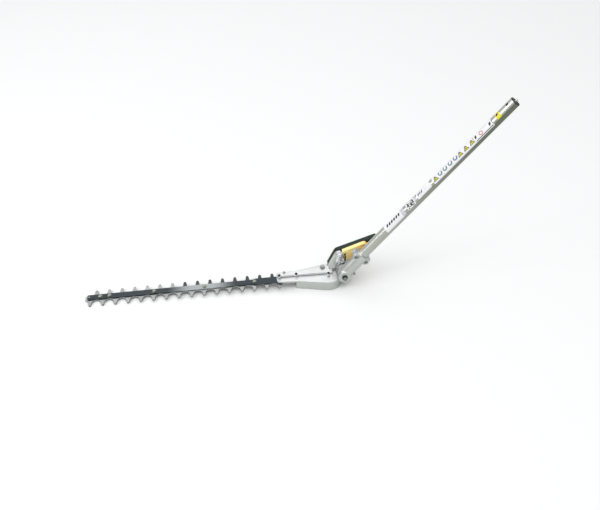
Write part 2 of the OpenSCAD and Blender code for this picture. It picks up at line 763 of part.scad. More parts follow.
// Both halves together, from the hinge's round end to the clamp's mouth
module housing_solid() {
    rod_x(housing_r, 0, clamp_reach);
    rod_y(housing_r, -housing_r, housing_r);
    for (side = [-1, 1]) {
        rod_y(lug_r, -lug_half, lug_half, clamp_at, side * lug_out);
        block([clamp_at, -lug_half + 1, side > 0 ? 0 : -lug_out - lug_r + 2],
            [clamp_reach - 1, lug_half - 1, side > 0 ? lug_out + lug_r - 2 : 0]);
    }
    for (p = side_screws) {
        rod_y(side_boss_r, -flange_half, flange_half, p[0], p[1]);
        block([p[0] - side_boss_r, -flange_half, p[1]], [p[0] + side_boss_r, flange_half, 0]);
    }
}

module housing_bores() {
    rod_x(seat_r + 0.02, clamp_reach - tube_seat, clamp_reach + 1);
    rod_x(seat_r - tube_wall, clamp_reach - tube_seat - 8, clamp_reach);
    rod_x(drive_d / 2 + 6.5, 10, clamp_reach - 10);
    rod_y(wheel_r + 1.2, -pinion_r - 1.5, housing_r + 1);
    rod_y(bolt_r + 0.3, -housing_r - 1, housing_r + 1);
    rod_y(bolt_r + 2.5, -housing_r + 1, -housing_r + 7);
    for (side = [-1, 1]) {
        rod_y(clamp_screw_r + run_gap, -lug_half - 1, lug_half + 1, clamp_at, side * lug_out);
        rod_y(clamp_head_r + 0.9, -housing_r - 1, -lug_half + clamp_head_in, clamp_at, side * lug_out);
        rod_y(clamp_nut_r + 0.6, lug_half, housing_r + 1, clamp_at, side * lug_out);
    }
    for (p = side_screws) {
        rod_y(screw_r + run_gap, -flange_half - 1, flange_half + 1, p[0], p[1]);
        rod_y(screw_head_r + 0.2, -flange_half - 4, -flange_half, p[0], p[1]);
    }
    block([slot_from, -clamp_slot / 2, -lug_out - 12], [clamp_reach + 1, clamp_slot / 2, lug_out + 12]);
}

module housing_half(side) {
    shaft_frame() difference() {
        housing_solid();
        housing_bores();
        block([-40, side > 0 ? -60 : 0, -60], [120, side > 0 ? 0 : 60, 60]);
    }
}

module housing_near() {
    color("gainsboro") housing_half(-1);
}

module housing_far() {
    color("gainsboro") housing_half(1);
}

module clamp_bolts() {
    color("silver") shaft_frame() for (side = [-1, 1])
        translate([clamp_at, -lug_half + clamp_head_in, side * lug_out]) rotate([90, 0, 0])
            cap_screw(clamp_screw_r, clamp_head_r, clamp_head_in, 2 * lug_half - clamp_head_in + 5);
}

module clamp_nuts() {
    color("silver") shaft_frame() for (side = [-1, 1])
        translate([clamp_at, lug_half, side * lug_out]) rotate([-90, 0, 0]) difference() {
            hexagon(clamp_nut_r, 4);
            translate([0, 0, -1]) cylinder(h = 6, r = clamp_screw_r + run_gap);
        }
}

module housing_screws() {
    color("gray") shaft_frame() for (p = side_screws)
        translate([p[0], -flange_half, p[1]]) rotate([90, 0, 0]) cap_screw(screw_r, screw_head_r, 2.6, 2 * flange_half);
}

// ---------- shaft ----------

module shaft_tube() {
    color("silver") shaft_frame() difference() {
        union() {
            rod_x(tube_d / 2, clamp_reach, tube_end);
            rod_x(seat_r, clamp_reach - tube_seat, clamp_reach);
        }
        rod_x(tube_d / 2 - tube_wall, 0, tube_end + 1);
        translate([tube_end - locating_from_end, 0, 0]) rotate([locating_turn, 0, 0])
            cylinder(h = tube_d, r = locating_d / 2);
    }
}

module end_bush() {
    color([0.1, 0.1, 0.1]) shaft_frame() difference() {
        union() {
            rod_x(tube_d / 2 - tube_wall - 0.02, tube_end - bush_depth, tube_end);
            rod_x(tube_d / 2 - 0.2, tube_end, tube_end + bush_rim);
        }
        rod_x(drive_d / 2 + run_gap, 0, tube_end + 5);
    }
}

module shaft_liners() {
    first = clamp_reach + 20;
    last = tube_end - 60;
    color([0.15, 0.15, 0.15]) shaft_frame() for (k = [0 : 3])
        translate([first + (last - first) * k / 3, 0, 0]) difference() {
            rod_x(tube_d / 2 - tube_wall - 0.02, 0, 16);
            rod_x(drive_d / 2 + run_gap, -1, 17);
        }
}

module drive_shaft() {
    color("gray") shaft_frame() {
        rod_x(drive_d / 2, wheel_r + 6, tube_end + bush_rim);
        rod_x(drive_d / 2 - 0.8, tube_end + bush_rim - 0.1, tube_end + 7);
    }
}

module drive_pinion() {
    color("darkgray") shaft_frame() {
        translate([wheel_r, 0, 0]) rotate([0, -90, 0]) bevel(14, pinion_r, wheel_r);
        rod_x(pinion_r * 0.8, wheel_r, wheel_r + 6);
    }
}

module pinion_bearing() {
    color("silver") shaft_frame() difference() {
        rod_x(drive_d / 2 + 6.5, wheel_r + 9, wheel_r + 17);
        rod_x(drive_d / 2 + run_gap, 0, wheel_r + 20);
    }
}

gear_pan();
case_body();
case_cover();
case_gasket();
cover_screws();
cover_nuts();
cover_bolt();
pan_screws();
crank_gear();
crank_bearings();
jack_shaft();
jack_bearings();
hinge_gears();
hinge_bushes();
hinge_bolt();
hinge_nut();
hinge_washer();
handle_bracket();
bracket_screws();
angle_handle();
handle_screws();
lock_lever();
lever_pin();
lever_spring();
lock_plunger();
index_plate();
upper_blade();
lower_blade();
guide_bar();
bar_dowels();
blade_bolts();
blade_washers();
tip_rivet();
housing_near();
housing_far();
clamp_bolts();
clamp_nuts();
housing_screws();
shaft_tube();
end_bush();
shaft_liners();
drive_shaft();
drive_pinion();
pinion_bearing();
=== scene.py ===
# Articulating hedge trimmer head: cast gear case, two sliding blades under a guide bar, a locking
# hinge with a black angle handle and a yellow lever, and a straight aluminium tube.
# Sizes are in millimetres in a local frame of each group, and MM turns them into the row's metres.

import json
import math

import bmesh
import bpy
from mathutils import Matrix, Vector


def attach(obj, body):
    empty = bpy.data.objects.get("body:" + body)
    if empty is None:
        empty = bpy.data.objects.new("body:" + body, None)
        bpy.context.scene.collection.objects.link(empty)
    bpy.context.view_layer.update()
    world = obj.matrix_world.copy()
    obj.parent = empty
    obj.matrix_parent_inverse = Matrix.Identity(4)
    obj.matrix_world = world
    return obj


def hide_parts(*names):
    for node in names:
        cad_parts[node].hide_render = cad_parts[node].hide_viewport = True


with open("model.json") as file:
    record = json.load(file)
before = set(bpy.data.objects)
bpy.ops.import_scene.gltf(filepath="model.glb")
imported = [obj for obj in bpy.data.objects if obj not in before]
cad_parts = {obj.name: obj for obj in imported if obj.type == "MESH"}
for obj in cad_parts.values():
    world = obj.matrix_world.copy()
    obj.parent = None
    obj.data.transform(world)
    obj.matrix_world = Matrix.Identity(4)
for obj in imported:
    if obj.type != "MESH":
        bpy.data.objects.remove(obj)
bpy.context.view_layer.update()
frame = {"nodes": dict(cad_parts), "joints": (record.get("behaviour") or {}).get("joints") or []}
nodes = frame["nodes"]
joints = {joint["name"]: joint for joint in frame["joints"]}
MM = 0.001
MIX_A, MIX_B, MIX_RESULT = 6, 7, 2  # the colour sockets of a Mix node


# ---------------------------------------------------------------- camera and studio
# The camera stands over the near side, a little to the left. The floor is plain and pale, and
# large soft lights stand behind, on the left and over the camera.

camera_azimuth = math.radians(-6.58)
camera_elevation = math.radians(41.5)
camera_distance = 2.346
camera_aim = Vector((-0.050, 0.0, 0.100))
camera_back = Vector((
    math.sin(camera_azimuth) * math.cos(camera_elevation),
    -math.cos(camera_azimuth) * math.cos(camera_elevation),
    math.sin(camera_elevation),
))
camera_data = bpy.data.cameras.new("camera")
camera_data.lens = 54.3
camera_data.sensor_width = 36.0
camera = bpy.data.objects.new("camera", camera_data)
camera.location = camera_aim + camera_distance * camera_back
camera.rotation_euler = camera_back.to_track_quat("Z", "Y").to_euler()
bpy.context.scene.collection.objects.link(camera)
bpy.context.scene.camera = camera
bpy.context.scene.view_settings.view_transform = "Standard"


def new_material(name):
    """A material with its Principled BSDF, and the tree to add to."""
    material = bpy.data.materials.new(name)
    material.use_nodes = True
    tree = material.node_tree
    return material, tree, tree.nodes["Principled BSDF"]


def add(tree, kind, inputs=None, **settings):
    """A node of that kind. An input is a plain value or the output socket that feeds it."""
    node = tree.nodes.new(kind)
    for key, value in settings.items():
        setattr(node, key, value)
    for key, value in (inputs or {}).items():
        if isinstance(value, bpy.types.NodeSocket):
            tree.links.new(value, node.inputs[key])
        else:
            node.inputs[key].default_value = value
    return node


floor_seen = (0.84, 0.84, 0.84, 1)
floor_mirrored = (0.58, 0.605, 0.575, 1)
floor_material, floor_tree, floor_shader = new_material("studio_floor")
floor_rays = add(floor_tree, "ShaderNodeLightPath")
floor_tone = add(floor_tree, "ShaderNodeMix", {
    "Factor": floor_rays.outputs["Is Glossy Ray"], MIX_A: floor_seen, MIX_B: floor_mirrored},
    data_type="RGBA")
floor_tree.links.new(floor_tone.outputs[MIX_RESULT], floor_shader.inputs["Base Color"])
floor_shader.inputs["Roughness"].default_value = 0.9
floor_half = 9.0
floor_mesh = bpy.data.meshes.new("floor")
floor_mesh.from_pydata(
    [(x * floor_half, y * floor_half, 0) for x, y in ((-1, -1), (1, -1), (1, 1), (-1, 1))],
    [], [(0, 1, 2, 3)])
floor_mesh.materials.append(floor_material)
floor = bpy.data.objects.new("floor", floor_mesh)
bpy.context.scene.collection.objects.link(floor)

world = bpy.data.worlds.new("studio")
world.use_nodes = True
world_tree = world.node_tree
sky_place = add(world_tree, "ShaderNodeTexCoord")
sky_parts = add(world_tree, "ShaderNodeSeparateXYZ", {"Vector": sky_place.outputs["Generated"]})
sky_tone = add(world_tree, "ShaderNodeValToRGB", {"Fac": sky_parts.outputs["Z"]})
sky_stops = ((0.0, 0.24), (0.18, 0.32), (0.42, 0.55), (0.66, 0.93), (1.0, 1.3))
sky_ramp = sky_tone.color_ramp.elements
for index, (height, tone) in enumerate(sky_stops):
    stop = sky_ramp[index] if index < 2 else sky_ramp.new(height)
    stop.position = height
    stop.color = (tone, tone * 1.01, tone * 1.015, 1)
backdrop = (0.90, 0.91, 0.91, 1)
sky_rays = add(world_tree, "ShaderNodeLightPath")
sky_seen = add(world_tree, "ShaderNodeMix", {
    "Factor": sky_rays.outputs["Is Camera Ray"], MIX_A: sky_tone.outputs["Color"],
    MIX_B: backdrop}, data_type="RGBA")
world_tree.links.new(
    sky_seen.outputs[MIX_RESULT], world_tree.nodes["Background"].inputs["Color"])
world_tree.nodes["Background"].inputs["Strength"].default_value = 1.0
bpy.context.scene.world = world


def soft_light(name, place, width, height, power):
    """A rectangular lamp at place that faces the middle of the floor."""
    data = bpy.data.lights.new(name, "AREA")
    data.shape = "RECTANGLE"
    data.size = width
    data.size_y = height
    data.energy = power
    lamp = bpy.data.objects.new(name, data)
    lamp.location = place
    lamp.rotation_euler = Vector(place).to_track_quat("Z", "Y").to_euler()
    bpy.context.scene.collection.objects.link(lamp)


soft_light("light_back", (-0.6, 1.9, 2.0), width=2.4, height=1.2, power=4.5)
soft_light("light_left", (-2.2, -0.6, 1.6), width=1.2, height=1.6, power=18)
soft_light("light_over", (0.3, -1.0, 2.8), width=1.8, height=1.2, power=15)


# ---------------------------------------------------------------- local frames
# Blades, case and crank stand square to the blades, which slope a little. Tube and clamp housing
# follow the tube's axis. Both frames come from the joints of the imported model.

slide_axis = Vector(joints["blade_stroke"]["axis"]).normalized()
crank_axis = Vector(joints["crank_spin"]["axis"]).normalized()
tube_axis = Vector(joints["drive_spin"]["axis"]).normalized()
across = Vector((0, 1, 0))


def local_frame(along, up, place):
    """The matrix that takes local millimetres to the row's metres."""
    side = up.cross(along)
    turn = Matrix((along, side, up)).transposed().to_4x4()
    return Matrix.Translation(Vector(place)) @ turn @ Matrix.Scale(MM, 4)


blade_place = local_frame(slide_axis, crank_axis, joints["crank_spin"]["pos_m"])
shaft_place = local_frame(tube_axis, tube_axis.cross(across), joints["fold"]["pos_m"])
row_place = Matrix.Scale(MM, 4)


# ---------------------------------------------------------------- cast gear case
# Three aluminium castings, blasted and clear coated: a pan, a body with a nose over the guide
# bar, and a raised cover on a dark gasket. All edges are rounded, as castings are.

def shader_group(name, inputs, outputs):
    """An empty shader node group with its sockets, and its input and output nodes."""
    tree = bpy.data.node_groups.new(name, "ShaderNodeTree")
    for label, kind, value in inputs:
        socket = tree.interface.new_socket(label, in_out="INPUT", socket_type=kind)
        socket.default_value = value
    for label, kind in outputs:
        tree.interface.new_socket(label, in_out="OUTPUT", socket_type=kind)
    return tree, tree.nodes.new("NodeGroupInput"), tree.nodes.new("NodeGroupOutput")


def maths(tree, operation, *values):
    """The result socket of one sum on plain values or sockets."""
    return add(tree, "ShaderNodeMath", dict(enumerate(values)), operation=operation).outputs[0]


def surface_group():
    """Two tones that drift over a surface, fine grain, and thin scratches along one direction."""
    tree, given, result = shader_group("surface_variation", [
        ("Tone A", "NodeSocketColor", (0.8, 0.8, 0.8, 1)),
        ("Tone B", "NodeSocketColor", (0.7, 0.7, 0.7, 1)),
        ("Mark Tone", "NodeSocketColor", (0.3, 0.3, 0.3, 1)),
        ("Drift Scale", "NodeSocketFloat", 30.0),
        ("Grain Scale", "NodeSocketFloat", 1500.0),
        ("Stretch", "NodeSocketVector", (1, 1, 1)),
        ("Grain Angle", "NodeSocketFloat", 0.0),
        ("Mark Amount", "NodeSocketFloat", 0.1),
        ("Rough Low", "NodeSocketFloat", 0.3),
        ("Rough High", "NodeSocketFloat", 0.5),
    ], [
        ("Color", "NodeSocketColor"), ("Roughness", "NodeSocketFloat"),
        ("Height", "NodeSocketFloat")])
    place = add(tree, "ShaderNodeTexCoord")
    turned_place = add(tree, "ShaderNodeVectorRotate", {
        "Vector": place.outputs["Object"], "Angle": given.outputs["Grain Angle"]},
        rotation_type="Y_AXIS")
    stretched = add(tree, "ShaderNodeVectorMath", {
        0: turned_place.outputs[0], 1: given.outputs["Stretch"]}, operation="MULTIPLY")
    drift = add(tree, "ShaderNodeTexNoise", {
        "Vector": stretched.outputs[0], "Scale": given.outputs["Drift Scale"], "Detail": 4.0,
        "Roughness": 0.6})
    grain = add(tree, "ShaderNodeTexNoise", {
        "Vector": stretched.outputs[0], "Scale": given.outputs["Grain Scale"], "Detail": 2.0})
    marks = add(tree, "ShaderNodeTexNoise", {
        "Vector": stretched.outputs[0], "Scale": given.outputs["Drift Scale"], "Detail": 8.0,
        "Roughness": 0.75, "Distortion": 0.4})
    mark_mask = add(tree, "ShaderNodeMapRange", {
        "Value": marks.outputs[0], "From Min": 0.56, "From Max": 0.74, "To Min": 0.0,
        "To Max": given.outputs["Mark Amount"]})
    tone = add(tree, "ShaderNodeMix", {
        "Factor": drift.outputs[0], MIX_A: given.outputs["Tone A"],
        MIX_B: given.outputs["Tone B"]}, data_type="RGBA")
    marked = add(tree, "ShaderNodeMix", {
        "Factor": mark_mask.outputs[0], MIX_A: tone.outputs[MIX_RESULT],
        MIX_B: given.outputs["Mark Tone"]}, data_type="RGBA")
    rough = add(tree, "ShaderNodeMapRange", {
        "Value": drift.outputs[0], "From Min": 0.3, "From Max": 0.7,
        "To Min": given.outputs["Rough Low"], "To Max": given.outputs["Rough High"]})
    tree.links.new(marked.outputs[MIX_RESULT], result.inputs["Color"])
    tree.links.new(rough.outputs[0], result.inputs["Roughness"])
    tree.links.new(grain.outputs[0], result.inputs["Height"])
    return tree


variation = surface_group()


def band_group():
    """How far a point is inside a band across one direction, between two places, with soft ends."""
    tree, given, result = shader_group("band_mask", [
        ("Direction", "NodeSocketVector", (1, 0, 0)),
        ("From", "NodeSocketFloat", 0.0),
        ("To", "NodeSocketFloat", 1.0),
        ("Soft", "NodeSocketFloat", 0.05),
    ], [("Mask", "NodeSocketFloat")])
    place = add(tree, "ShaderNodeTexCoord")
    reach = add(tree, "ShaderNodeVectorMath", {
        0: place.outputs["Object"], 1: given.outputs["Direction"]}, operation="DOT_PRODUCT")
    start = maths(tree, "SUBTRACT", given.outputs["From"], given.outputs["Soft"])
    end = maths(tree, "ADD", given.outputs["To"], given.outputs["Soft"])
    rise = add(tree, "ShaderNodeMapRange", {
        "Value": reach.outputs["Value"], "From Min": start, "From Max": given.outputs["From"]},
        interpolation_type="SMOOTHSTEP")
    fall = add(tree, "ShaderNodeMapRange", {
        "Value": reach.outputs["Value"], "From Min": given.outputs["To"], "From Max": end,
        "To Min": 1.0, "To Max": 0.0}, interpolation_type="SMOOTHSTEP")
    both = maths(tree, "MULTIPLY", rise.outputs[0], fall.outputs[0])
    tree.links.new(both, result.inputs["Mask"])
    return tree


bands = band_group()


def tint_band(material, tone, amount, *places):
    """Where all bands overlap, the finish drifts to tone. A band is (direction, from, to, soft)."""
    tree = material.node_tree
    shader = tree.nodes["Principled BSDF"]
    base = shader.inputs["Base Color"].links[0].from_socket
    share = amount
    for place in places:
        band = add(tree, "ShaderNodeGroup", node_tree=bands)
        for key, value in zip(("Direction", "From", "To", "Soft"), place):
            band.inputs[key].default_value = value
        share = maths(tree, "MULTIPLY", share, band.outputs["Mask"])
    mix = add(tree, "ShaderNodeMix", {"Factor": share, MIX_A: base, MIX_B: (*tone, 1)},
              data_type="RGBA")
    tree.links.new(mix.outputs[MIX_RESULT], shader.inputs["Base Color"])


grain_depth = 0.02


def finish_material(name, tones, drift, grain, rough, metallic, bump, stretch=(1, 1, 1),
                    marks=0.1, mark_tone=(0.3, 0.3, 0.3), coat=0.0, angle=0.0):
    """One finish: tones, drift and grain sizes per metre, and how rough and metallic it is."""
    material, tree, shader = new_material(name)
    group = add(tree, "ShaderNodeGroup", node_tree=variation)
    values = {
        "Tone A": (*tones[0], 1), "Tone B": (*tones[1], 1), "Mark Tone": (*mark_tone, 1),
        "Drift Scale": drift, "Grain Scale": grain, "Stretch": stretch, "Grain Angle": angle,
        "Mark Amount": marks, "Rough Low": rough[0], "Rough High": rough[1]}
    for key, value in values.items():
        group.inputs[key].default_value = value
    height = add(tree, "ShaderNodeBump", {
        "Height": group.outputs["Height"], "Strength": bump, "Distance": grain_depth * MM})
    tree.links.new(group.outputs["Color"], shader.inputs["Base Color"])
    tree.links.new(group.outputs["Roughness"], shader.inputs["Roughness"])
    tree.links.new(height.outputs["Normal"], shader.inputs["Normal"])
    shader.inputs["Metallic"].default_value = metallic
    shader.inputs["Coat Weight"].default_value = coat
    shader.inputs["Coat Roughness"].default_value = 0.25
    return material


cast_aluminium = finish_material(
    "cast_aluminium", ((0.74, 0.75, 0.745), (0.62, 0.635, 0.63)), drift=22, grain=1100,
    rough=(0.27, 0.37), metallic=0.88, bump=0.06, marks=0.12, mark_tone=(0.40, 0.41, 0.41),
    coat=0.12)
gasket_sheet = finish_material(
    "gasket_sheet", ((0.06, 0.065, 0.065), (0.03, 0.035, 0.035)), drift=120, grain=2500,
    rough=(0.7, 0.9), metallic=0.0, bump=0.5)


def paint(material, *names):
    """CAD nodes keep their shape and get this finish."""
    for name in names:
        slots = nodes[name].data.materials
        slots.clear()
        slots.append(material)


def make_piece(name, mesh, material, body, slot, *replaced):
    """A finished mesh becomes a piece that rides on its body and stands for CAD nodes."""
    if material:
        mesh.materials.clear()
        mesh.materials.append(material)
    piece = bpy.data.objects.new(name, mesh)
    bpy.context.scene.collection.objects.link(piece)
    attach(piece, body)
    if replaced:
        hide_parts(*replaced)
    return piece


def modified(mesh, *modifiers):
    """The mesh with these modifiers applied. Each is a kind and its settings."""
    work = bpy.data.objects.new("work", mesh)
    bpy.context.scene.collection.objects.link(work)
    for kind, settings in modifiers:
        modifier = work.modifiers.new(kind.lower(), kind)
        for key, value in settings.items():
            setattr(modifier, key, value)
    seen = work.evaluated_get(bpy.context.evaluated_depsgraph_get())
    result = bpy.data.meshes.new_from_object(seen)
    bpy.data.objects.remove(work)
    return result


same_point = 0.002
same_plane = math.radians(1)


def node_copy(name):
    """A merged copy of a CAD node's mesh, its flat faces whole again."""
    shape = bmesh.new()
    shape.from_mesh(nodes[name].data)
    bmesh.ops.remove_doubles(shape, verts=shape.verts, dist=same_point * MM)
    bmesh.ops.dissolve_limit(
        shape, angle_limit=same_plane, verts=shape.verts, edges=shape.edges)
    mesh = bpy.data.meshes.new(name + "_copy")
    shape.to_mesh(mesh)
    shape.free()
    return mesh


def smooth_cast(mesh, voxel, rounds):
    """Overlapping closed shells become one casting with soft corners and fillets."""
    return modified(
        mesh,
        ("REMESH", {"mode": "VOXEL", "voxel_size": voxel * MM, "use_smooth_shade": True}),
        ("SMOOTH", {"factor": 0.5, "iterations": rounds}))


def cast_piece(name, voxel, rounds, body):
    """A CAD node as an aluminium casting, with voxels in millimetres and rounds of smoothing."""
    mesh = smooth_cast(node_copy(name), voxel, rounds)
    make_piece(name + "_cast", mesh, cast_aluminium, body, "cast_aluminium", name)


cast_piece("gear_pan", voxel=0.7, rounds=10, body="gear_case")
cast_piece("case_body", voxel=0.7, rounds=9, body="gear_case")
cast_piece("case_cover", voxel=0.55, rounds=9, body="gear_case")
paint(gasket_sheet, "case_gasket")


# ---------------------------------------------------------------- case fasteners
# Cap screws with hexagon sockets, blackened as painted shade for the lug recesses they sit in, a
# zinc plated nut on its stud, and a zinc plated domed cap bolt with a wide washer. Copies of one
# turned shape stand on points, each turned a little differently.

SIDES = 24  # sides of a round fastener
HEX_STEP = math.pi / 3


def turned(profile, hexagons=()):
    """A closed mesh turned about Z from (radius, height) rings. Some of the rings are hexagons."""
    shape = bmesh.new()
    rings = []
    for index, (radius, height) in enumerate(profile):
        ring = []
        for k in range(SIDES if radius else 1):
            angle = math.tau * k / SIDES
            reach = radius
            if index in hexagons:
                reach = radius / math.cos((angle + HEX_STEP / 2) % HEX_STEP - HEX_STEP / 2)
            ring.append(shape.verts.new((reach * math.cos(angle), reach * math.sin(angle), height)))
        rings.append(ring)
    for low, high in zip(rings, rings[1:]):
        for k in range(SIDES):
            after = (k + 1) % SIDES
            corners = [
                low[k % len(low)], low[after % len(low)],
                high[after % len(high)], high[k % len(high)]]
            shape.faces.new(list(dict.fromkeys(corners)))
    bmesh.ops.recalc_face_normals(shape, faces=shape.faces)
    mesh = bpy.data.meshes.new("turned")
    shape.to_mesh(mesh)
    shape.free()
    return mesh


def cap_screw(shank, head, height, length):
    """A cap screw whose head stands on z = 0, with a hexagon socket in it."""
    edge = 0.12 * height
    socket = 0.52 * head
    return turned([
        (0, -length), (shank - 0.3, -length), (shank, -length + 0.4), (shank, 0), (head - edge, 0),
        (head, edge), (head, height - edge), (head - edge, height), (socket, height),
        (socket, 0.45 * height), (0, 0.42 * height)], hexagons=(8, 9))


def hex_nut(across, height, stud, stud_top):
    """A hexagon nut with rounded corners on a stud that stands out of it."""
    return turned([
        (0, -1.5), (stud, -1.5), (stud, 0), (across, 0), (across, 0.85 * height),
        (0.86 * across, height), (stud + 0.3, height), (stud, height - 0.3), (stud, stud_top - 0.4),
        (stud - 0.4, stud_top), (0, stud_top)], hexagons=(3, 4))


def node_tree(name, inputs):
    """A Geometry Nodes tree with these inputs, and its input and output nodes."""
    tree = bpy.data.node_groups.new(name, "GeometryNodeTree")
    for label, kind, value in inputs:
        socket = tree.interface.new_socket(label, in_out="INPUT", socket_type=kind)
        if value is not None:
            socket.default_value = value
    tree.interface.new_socket("Geometry", in_out="OUTPUT", socket_type="NodeSocketGeometry")
    return tree, tree.nodes.new("NodeGroupInput"), tree.nodes.new("NodeGroupOutput")


def run_tree(mesh, tree, values):
    """The plain mesh that the tree makes of this mesh with these input values."""
    work = bpy.data.objects.new("work", mesh)
    bpy.context.scene.collection.objects.link(work)
    modifier = work.modifiers.new("tree", "NODES")
    modifier.node_group = tree
    for item in tree.interface.items_tree:
        if item.in_out == "INPUT" and item.name in values:
            modifier[item.identifier] = values[item.name]
    seen = work.evaluated_get(bpy.context.evaluated_depsgraph_get())
    result = bpy.data.meshes.new_from_object(seen)
    work.modifiers.remove(modifier)
    bpy.data.objects.remove(work)
    return result


def finish_tree(tree, geometry, given, result):
    """The tree ends with a plain mesh in its finish."""
    real = add(tree, "GeometryNodeRealizeInstances", {"Geometry": geometry})
    finished = add(tree, "GeometryNodeSetMaterial", {
        "Geometry": real.outputs[0], "Material": given.outputs["Finish"]})
    tree.links.new(finished.outputs[0], result.inputs["Geometry"])


def copies_tree():
    """Copies of one shape stand on every point of a mesh, each turned about its own axis."""
    tree, given, result = node_tree("copies_on_points", [
        ("Geometry", "NodeSocketGeometry", None),
        ("Shape", "NodeSocketObject", None),
        ("Most Turn", "NodeSocketFloat", math.tau),
        ("Seed", "NodeSocketInt", 1),
        ("Finish", "NodeSocketMaterial", None)])
    shape = add(tree, "GeometryNodeObjectInfo", {"Object": given.outputs["Shape"]})
    most = add(tree, "ShaderNodeCombineXYZ", {"Z": given.outputs["Most Turn"]})
    turn = add(tree, "FunctionNodeRandomValue", {
        0: (0, 0, 0), 1: most.outputs[0], "Seed": given.outputs["Seed"]},
        data_type="FLOAT_VECTOR")
    stood = add(tree, "GeometryNodeInstanceOnPoints", {
        "Points": given.outputs["Geometry"], "Instance": shape.outputs["Geometry"],
        "Rotation": turn.outputs[0]})
    finish_tree(tree, stood.outputs[0], given, result)
    return tree


copies_on_points = copies_tree()


def copies(shape_mesh, places, finish, seed, most_turn=math.tau):
    """Copies of the shape at these places, as one mesh."""
    shape = bpy.data.objects.new("shape", shape_mesh)
    bpy.context.scene.collection.objects.link(shape)
    points = bpy.data.meshes.new("points")
    points.from_pydata([tuple(place) for place in places], [], [])
    mesh = run_tree(points, copies_on_points, {
        "Shape": shape, "Most Turn": most_turn, "Seed": seed, "Finish": finish})
    bpy.data.objects.remove(shape)
    return mesh


def fasteners(name, shape_mesh, places, stand, finish, body, slot, *replaced, seed=1):
    """Copies of a fastener at places in a frame whose third axis points out of the head."""
    mesh = copies(shape_mesh, places, finish, seed)
    mesh.transform(stand)
    return make_piece(name, mesh, None, body, slot, *replaced)


zinc_plate = finish_material(
    "zinc_plate", ((0.50, 0.51, 0.50), (0.36, 0.37, 0.365)), drift=160, grain=3000,
    rough=(0.22, 0.40), metallic=1.0, bump=0.15, marks=0.3, mark_tone=(0.14, 0.14, 0.12))
turned_brass = finish_material(
    "turned_brass", ((0.72, 0.55, 0.27), (0.60, 0.44, 0.20)), drift=140, grain=2600,
    rough=(0.25, 0.4), metallic=1.0, bump=0.15)
oxide_steel = finish_material(
    "oxide_steel", ((0.03, 0.03, 0.032), (0.05, 0.05, 0.05)), drift=200, grain=2600,
    rough=(0.4, 0.55), metallic=0.7, bump=0.15)

cover_up = 15.3
cover_lug_places = [(-129, 0, cover_up), (-84, 0, cover_up), (1, -9, cover_up)]
cover_stud_places = [(-115, 10, cover_up)]
dome_bolt_places = [(-12, 16, cover_up)]
cover_screw = cap_screw(shank=2, head=3.6, height=2.6, length=8)
cover_nut = hex_nut(across=3.1, height=2.8, stud=2, stud_top=4)
# Painted shade: the cover's cap screws are near-black steel, standing in for the shade inside their
# recesses.
fasteners("cover_cap_screws", cover_screw, cover_lug_places, blade_place, oxide_steel,
          "gear_case", "zinc_steel", "cover_screws", seed=4)
fasteners("cover_stud_nut", cover_nut, cover_stud_places, blade_place, zinc_plate,
          "gear_case", "zinc_steel", "cover_nuts", seed=2)
dome_profile = [
    (0, -8), (3, -8), (3, 0), (7.3, 0), (7.5, 0.3), (7.5, 1.2), (7.2, 1.6), (4.9, 1.6), (4.9, 5.0),
    (4.6, 5.8), (3.9, 6.7), (2.6, 7.25), (1.2, 7.47), (0, 7.5)]
dome_bolt = turned(dome_profile, hexagons=(7, 8))
fasteners("cover_dome_bolt", dome_bolt, dome_bolt_places, blade_place, zinc_plate,
          "gear_case", "zinc_steel", "cover_bolt", seed=5)
paint(zinc_plate, "pan_screws", "bar_dowels")
paint(turned_brass, "hinge_bushes")


# ---------------------------------------------------------------- gears and bearings
# Machined steel gears on their shafts, ground bearing rings and index plate, and the blackened
# lock plunger.

machined_steel = finish_material(
    "machined_steel", ((0.40, 0.40, 0.41), (0.32, 0.32, 0.33)), drift=90, grain=2200,
    rough=(0.28, 0.42), metallic=1.0, bump=0.2, marks=0.2, mark_tone=(0.16, 0.14, 0.11))
ground_steel = finish_material(
    "ground_steel", ((0.78, 0.79, 0.79), (0.66, 0.67, 0.675)), drift=110, grain=3200,
    rough=(0.16, 0.28), metallic=1.0, bump=0.1)
paint(machined_steel, "crank_gear", "jack_shaft", "hinge_gears", "drive_pinion")
paint(ground_steel, "index_plate", "crank_bearings", "jack_bearings", "pinion_bearing",
      "drive_shaft")
paint(oxide_steel, "lock_plunger")


# ---------------------------------------------------------------- blades
# Two stamped steel blades with a tooth every 33 mm. The flanks of the teeth are ground to a
# dark bevel, on the upper blade's top and on the lower blade's underside.

blade_stamped = finish_material(
    "blade_stamped", ((0.48, 0.49, 0.485), (0.29, 0.302, 0.298)), drift=60, grain=1800,
    rough=(0.26, 0.42), metallic=1.0, bump=0.25, stretch=(0.35, 1.6, 1), marks=0.3,
    mark_tone=(0.14, 0.15, 0.14))
blade_ground = finish_material(
    "blade_ground", ((0.030, 0.042, 0.040), (0.060, 0.075, 0.070)), drift=180, grain=3200,
    rough=(0.34, 0.5), metallic=0.6, bump=0.2, stretch=(1, 3, 1), marks=0.25,
    mark_tone=(0.2, 0.22, 0.2))
# Painted reflection: the far teeth near the case are painted almost black, standing in for the dark
# they mirror.
far_teeth_shade_band = ((0, 1, 0), 0.012, 0.1, 0.004)
case_end_shade_band = ((1, 0, 0), -0.36, 0.1, 0.03)
tint_band(blade_stamped, (0.035, 0.048, 0.046), 0.9, far_teeth_shade_band, case_end_shade_band)
bevel_width = 2.0
back_half = 8.7
teeth_from = -100
same_height = 0.05
sharp_edge = 1.0


